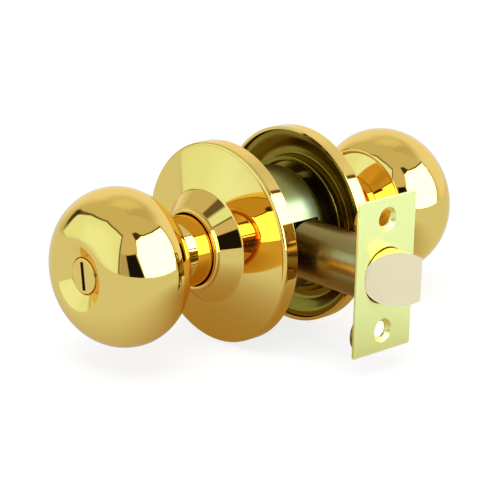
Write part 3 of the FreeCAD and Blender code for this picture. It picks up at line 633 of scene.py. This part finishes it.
def rose(side, name, node, body, material):
    radius = across(node)
    near, far = reach(node)
    skin = SKIN
    bore, top = 13.6, far - near
    corners = [(radius, 0), (radius, 5.0), (radius - 1.3, 6.3), (21.1, 11.3), (15.2, 17.4), (bore, top),
               (bore, top - skin), (14.6, 16.2), (20.5, 10.1), (radius - 2 * skin, 5.1),
               (radius - skin, 3.9), (radius - skin, 0)]
    arcs = {1: 1.3, 2: -200, 4: 1.1}
    rounds = {0: 0.3, 1: 0.05, 2: 0.3, 3: 0.35, 4: 0.15, 5: 0.3}
    outline = [(r, near + h) for r, h in rounded_outline(corners, arcs, rounds, step=0.6)]
    settle(lathe(name, outline, side=side), body, "polished_brass", material, node)


def neck(side, name, node, body, material):
    near, far = reach(node)
    outer, bore, flange = 13.15, 8.05, across(node)
    corners = [(bore, near), (outer, near), (outer, far - SKIN), (flange, far - SKIN),
               (flange, far), (bore, far)]
    outline = rounded_outline(corners, rounds={1: 0.6}, step=0.8)
    settle(lathe(name, outline, side=side), body, "polished_brass", material, node)


def knob_back(side, name, node, body, material):
    radius = across(node)
    near, far = reach(node)
    sheet = 0.84
    inner = 13.2
    corners = [(radius, far - sheet), (radius, far), (inner, near + sheet), (inner, near)]
    outline = rounded_outline(corners, rounds={0: 0.2, 3: 0.3}, step=0.5)
    settle(lathe(name, outline, side=side), body, "polished_brass", material, node)


def button(side, name, node, body, material, edge, slot=False):
    low, high = reach(node)
    lip = across(node)
    outer = 6.45
    corners = [(0.0001, low), (lip, low), (lip, low + 1.5), (outer, low + 1.5), (outer, high - edge),
               (outer - edge, high), (0.0001, high)]
    outline = rounded_outline(corners, {4: edge}, {0: 0, 4: 0.02, 5: 0.02, 6: 0}, step=0.4)
    piece = lathe(name, outline, side=side, turns=128)
    if slot:
        top = side * high
        deep = side * (high - SLOT_DEPTH)
        cutter = box_cutter((-SLOT_HALF_WIDTH, min(top * 1.02, deep), -SLOT_HALF_LENGTH),
                            (SLOT_HALF_WIDTH, max(top * 1.02, deep), SLOT_HALF_LENGTH))
        cutter.rotation_euler.y = math.radians(-SLOT_LEAN)
        cut_away(piece, [cutter])
    sharpen(piece, 35)
    settle(piece, body, "polished_brass", material, node)
    # painted shade: the walls of the coin slot take the near-black material in place of the shade inside the
    # recess
    if slot:
        piece.data.materials.append(slot_shade_material())
        for polygon in piece.data.polygons:
            middle = polygon.center / MM
            below = high - abs(middle.y)
            if abs(middle.x) < 1.7 and abs(middle.z) < 5.3 and 0.3 < below < SLOT_DEPTH + 0.1:
                polygon.material_index = 1


def liner(side, name, node, body, material, holes):
    near = reach(node)[0]
    radius = across(node)
    rim, rib, hub, floor = 1.7, 0.7, 3.4, 5.0
    door = near - rib
    sheet = 1.1
    rib_in, rib_out = 24.2, 25.9
    bore = HUB_BORE
    corners = [(radius, rim), (radius, rim + sheet), (34, rim + sheet), (rib_out + 3 * sheet, floor + sheet),
               (rib_out - sheet / 2, floor + sheet), (rib_out - sheet, hub + sheet), (bore, hub + sheet),
               (bore, hub), (rib_in, hub), (rib_in, rib), (rib_out, rib), (rib_out + sheet / 2, floor),
               (rib_out + 3 * sheet, floor), (34, rim)]
    rounds = {0: 0.3, 13: 1.0, 12: 0.8, 11: 0.5, 10: 0.4, 9: 0.4, 8: 0.5, 2: 0.6, 3: 0.6}
    outline = [(r, door + h) for r, h in rounded_outline(corners, rounds=rounds, soft=0.2, step=0.5)]
    piece = lathe(name, outline, side=side)
    cutters = []
    for z in holes:
        hole = lathe("cutter", [(0.0001, 0), (2.15, 0), (2.15, 12), (0.0001, 12)], turns=48)
        hole.location = (0, side * (door + 6) * MM - 6 * MM, z * MM)
        cutters.append(hole)
    if cutters:
        cut_away(piece, cutters)
        sharpen(piece, 35)
    settle(piece, body, "yellow_zinc", material, node)


def drum(material):
    """The case's two halves, each a drawn cup."""
    radius = across("case_shell")
    half = 13.5
    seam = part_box("case_shell")[0].y / MM
    skin = SKIN
    corners = [(radius, seam), (radius, half - 4), (radius - 4, half),
               (HUB_BORE, half), (HUB_BORE, half - skin),
               (radius - 4, half - skin), (radius - skin, half - 4), (radius - skin, seam)]
    outline = rounded_outline(corners, {1: 4.0, 5: -2.8}, {0: 0.25, 1: 0.05, 2: 0.05}, step=0.6)
    shell = lathe("case_shell_drawn", outline)
    cut_away(shell, [box_cutter((14, -8.6, -9.6), (26, 8.6, 9.6))])
    sharpen(shell, 35)
    settle(shell, "lock_case", "clear_zinc", material, "case_shell")
    near, far = 11.45, half
    spigot, spigot_end = radius - skin - 0.05, near - 2.45
    corners = [(radius, near), (radius, far - 2), (radius - 2, far), (HUB_BORE, far), (HUB_BORE, far - skin),
               (radius - 3 * skin, far - skin), (radius - 2 * skin, far - 2 * skin),
               (radius - 2 * skin, spigot_end), (spigot, spigot_end), (spigot, near)]
    outline = rounded_outline(corners, {1: 2.0}, {0: 0.25, 1: 0.05, 2: 0.05}, step=0.6)
    cover = lathe("case_cover_drawn", outline, side=OUTSIDE)
    settle(cover, "lock_case", "clear_zinc", material, "case_cover")


# ---------------------------------------------------------------- the latch line

def latch_tube(material):
    start, end = along_x("latch_tube")
    radius, bore, mouth = 11.0, 10.1, 8.9
    corners = [(mouth, start), (mouth, start + 1), (bore, start + 1), (bore, end), (radius, end),
               (radius, start + 1.8), (radius - 1.8, start)]
    outline = rounded_outline(corners, {5: 1.8}, {4: 0.2, 5: 0.05, 6: 0.05}, step=0.6)
    settle(lathe("latch_tube_drawn", outline, axis="x"), "lock_case", "latch_steel", material, "latch_tube")


def rounded_ring(points, half_y, half_z, radius):
    """A rectangle with rounded corners, as a closed list of (y, z) points."""
    ring = []
    for cy, cz, first in ((1, 1, 0), (-1, 1, 90), (-1, -1, 180), (1, -1, 270)):
        for k in range(points + 1):
            angle = math.radians(first + 90 * k / points)
            ring.append((cy * (half_y - radius) + radius * math.cos(angle),
                         cz * (half_z - radius) + radius * math.sin(angle)))
    return ring


def circle(radius, centre, count):
    return [(radius * math.cos(2 * math.pi * i / count), centre + radius * math.sin(2 * math.pi * i / count))
            for i in range(count)]


def upright_sheet(name, loops, back, front, edge):
    """A sheet across the latch line: the first loop of (y, z) points less the others."""
    curve = bpy.data.curves.new(name, "CURVE")
    curve.dimensions = "2D"
    curve.fill_mode = "BOTH"
    curve.extrude = (front - back) / 2 * MM - edge * MM
    curve.bevel_depth = edge * MM
    curve.bevel_resolution = 3
    curve.offset = -edge * MM
    for points in loops:
        spline = curve.splines.new("POLY")
        spline.points.add(len(points) - 1)
        for point, (u, v) in zip(spline.points, points):
            point.co = (u * MM, v * MM, 0, 1)
        spline.use_cyclic_u = True
    holder = bpy.data.objects.new(name + "_curve", curve)
    bpy.context.scene.collection.objects.link(holder)
    holder.matrix_world = (Matrix.Translation(((front + back) / 2 * MM, 0, 0))
                           @ Matrix(((0, 0, 1, 0), (1, 0, 0, 0), (0, 1, 0, 0), (0, 0, 0, 1))))
    mesh = finished_mesh(holder)
    mesh.transform(holder.matrix_world)
    bpy.data.objects.remove(holder)
    sheet = bpy.data.objects.new(name, mesh)
    bpy.context.scene.collection.objects.link(sheet)
    return sheet


def faceplate(material):
    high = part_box("faceplate")[1]
    back, front = high.x / MM - 1.0, high.x / MM
    half_y, half_z = high.y / MM, high.z / MM
    pitch, hole, sink = SCREW_SPACING / 2, 3.1, 4.3
    loops = [rounded_ring(6, half_y, half_z, 0.5), circle(10.35, 0, 128),
             circle(sink, -pitch, 64), circle(sink, pitch, 64)]
    plate = upright_sheet("faceplate_pressed", loops, back, front, 0.12)
    cups = []
    for z in (-pitch, pitch):
        corners = [(sink + 0.05, front), (hole, front - 1.4), (hole, back - 1.2), (3.9, back - 1.2),
                   (4.9, back + 0.05), (sink + 0.05, back + 0.05)]
        outline = rounded_outline(corners, rounds={0: 0, 1: 0.2, 2: 0.15, 3: 0.4, 4: 0, 5: 0}, step=0.4)
        cup = lathe("cup", outline, axis="x", turns=64)
        cup.data.transform(Matrix.Translation((0, 0, z * MM)))
        cups.append(cup)
    bpy.ops.object.select_all(action="DESELECT")
    for item in [plate] + cups:
        item.select_set(True)
    bpy.context.view_layer.objects.active = plate
    bpy.ops.object.join()
    sharpen(plate, 30)
    settle(plate, "lock_case", "faceplate_brass", material, "faceplate")


def base_plate(material):
    """The steel plate behind the faceplate, with a lobe on each side of each screw hole."""
    low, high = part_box("latch_base_plate")
    half_y, half_z = 12.2, high.z / MM
    pitch, lobe_z, lobe_r = SCREW_SPACING / 2, 5.0, 7.8
    spread = math.asin(lobe_z / lobe_r)
    right = [(half_y, -half_z)]
    for middle in (-pitch, pitch):
        for k in range(17):
            angle = spread * (k / 8 - 1)
            right.append((half_y + lobe_r * (math.cos(angle) - math.cos(spread)),
                          middle + lobe_r * math.sin(angle)))
    right.append((half_y, half_z))
    left = [(-u, v) for u, v in reversed(right)]
    loops = [right + left, circle(11.05, 0, 128), circle(5.1, -pitch, 64), circle(5.1, pitch, 64)]
    plate = upright_sheet("latch_base_plate_pressed", loops, low.x / MM, high.x / MM, 0.15)
    sharpen(plate, 30)
    settle(plate, "lock_case", "latch_steel", material, "latch_base_plate")


def latch_bolt(side_metal, bevel_metal):
    low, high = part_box("latch_bolt")
    start, tip = low.x / MM, high.x / MM
    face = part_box("faceplate")[1].x / MM
    radius, flat, bevel = 10.0, high.y / MM, 8.4
    outline = [(0.0001, start), (radius, start), (radius, tip), (0.0001, tip)]
    bolt = lathe("latch_bolt_cut", outline, axis="x", turns=160)
    slope = (tip - face) / (flat + bevel)
    flat_cut = box_cutter((start - 5, flat, -20), (tip + 20, 40, 20))
    deep = 30
    corners = [(face - deep * slope, -bevel - deep), (tip + deep * slope, flat + deep),
               (tip + 60, flat + deep), (tip + 60, -bevel - deep)]
    vertices = [(x * MM, y * MM, z * MM) for z in (-20, 20) for x, y in corners]
    faces = [(0, 1, 2, 3), (7, 6, 5, 4), (0, 4, 5, 1), (1, 5, 6, 2), (2, 6, 7, 3), (3, 7, 4, 0)]
    wedge = mesh_object("cutter", vertices, faces)
    slot = box_cutter((start - 2, -1.05, -20), (start + 10, 1.05, 20))
    cut_away(bolt, [flat_cut, wedge, slot])
    shaper = bmesh.new()
    shaper.from_mesh(bolt.data)
    bmesh.ops.dissolve_limit(shaper, angle_limit=0.002, verts=shaper.verts, edges=shaper.edges)
    shaper.to_mesh(bolt.data)
    shaper.free()
    soften = bolt.modifiers.new("edge", "BEVEL")
    soften.width = 0.4 * MM
    soften.segments = 4
    soften.limit_method = "ANGLE"
    soften.angle_limit = math.radians(40)
    soften.harden_normals = False
    mesh = finished_mesh(bolt)
    bolt.modifiers.clear()
    bolt.data = mesh
    sharpen(bolt, 25)
    settle(bolt, "latch_bolt", "bolt_brass", side_metal, "latch_bolt")
    bolt.data.materials.append(bevel_metal)
    normal = Vector((1, -slope, 0)).normalized()
    for polygon in bolt.data.polygons:
        if polygon.normal.dot(normal) > 0.995:
            polygon.material_index = 1


# ---------------------------------------------------------------- assembly

def plain_nodes(materials):
    """The inner pieces keep their CAD meshes and get their metals."""
    kinds = {
        "retractor_guide": "clear_zinc", "retractor": "steel", "retractor_springs": "spring",
        "mounting_screws": "steel", "inside_spindle": "steel", "outside_spindle": "steel",
        "knob_catch": "spring", "locking_bar": "steel", "button_spring": "spring",
        "release_stem": "steel", "outside_hub": "steel", "inside_hub": "steel",
        "outside_snap_ring": "spring", "inside_snap_ring": "spring", "latch_end_cap": "latch",
        "latch_tail": "latch", "tail_pin": "steel", "bolt_spring": "spring"}
    for node, kind in kinds.items():
        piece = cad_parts[node]
        piece.data.materials.clear()
        piece.data.materials.append(materials[kind])


def build():
    brass = polished_brass()
    zinc = iridescent_zinc(
        "yellow_zinc", (0.29, 0.20, 0.020), (0.24, 0.14, 0.012), (0.17, 0.08, 0.02), 0.20)
    pale_zinc = iridescent_zinc(
        "clear_zinc", (0.40, 0.47, 0.19), (0.34, 0.29, 0.07), (0.26, 0.15, 0.05), 0.30)
    tube_metal = iridescent_zinc(
        "latch_metal", (0.40, 0.31, 0.09), (0.30, 0.19, 0.045), (0.24, 0.13, 0.04), 0.26)
    plate_metal = satin_brass()
    cream = matt_face()
    bolt_side = simple_metal("bolt_side", (0.84, 0.56, 0.14), (0.76, 0.50, 0.12), 0.14)
    materials = {
        "clear_zinc": pale_zinc,
        "steel": simple_metal("zinc_steel", (0.62, 0.62, 0.60), (0.52, 0.52, 0.50), 0.32),
        "spring": simple_metal("spring_wire", (0.50, 0.50, 0.50), (0.40, 0.40, 0.40), 0.25),
        "latch": tube_metal}
    for side, place in ((OUTSIDE, "outside"), (INSIDE, "inside")):
        knob = f"{place}_knob"
        knob_shell(side, f"{place}_knob_spun", f"{place}_knob_shell", knob, brass)
        knob_back(side, f"{place}_knob_back_spun", f"{place}_knob_back", knob, brass)
        neck(side, f"{place}_neck_turned", f"{place}_neck", knob, brass)
        rose(side, f"{place}_rose_spun", f"{place}_rose", "lock_case", brass)
    button(OUTSIDE, "release_button_turned", "release_button", "release_button", brass, 0.5, slot=True)
    button(INSIDE, "push_button_turned", "push_button", "push_button", brass, 2.5)
    liner(OUTSIDE, "outside_liner_pressed", "outside_liner", "lock_case", zinc, ())
    liner(INSIDE, "mounting_plate_pressed", "mounting_plate", "lock_case", zinc, (-17.5, 17.5))
    drum(pale_zinc)
    latch_tube(tube_metal)
    faceplate(plate_metal)
    base_plate(tube_metal)
    latch_bolt(bolt_side, cream)
    plain_nodes(materials)


build()
studio_world()
studio_floor()
studio_lamp()
studio_camera()
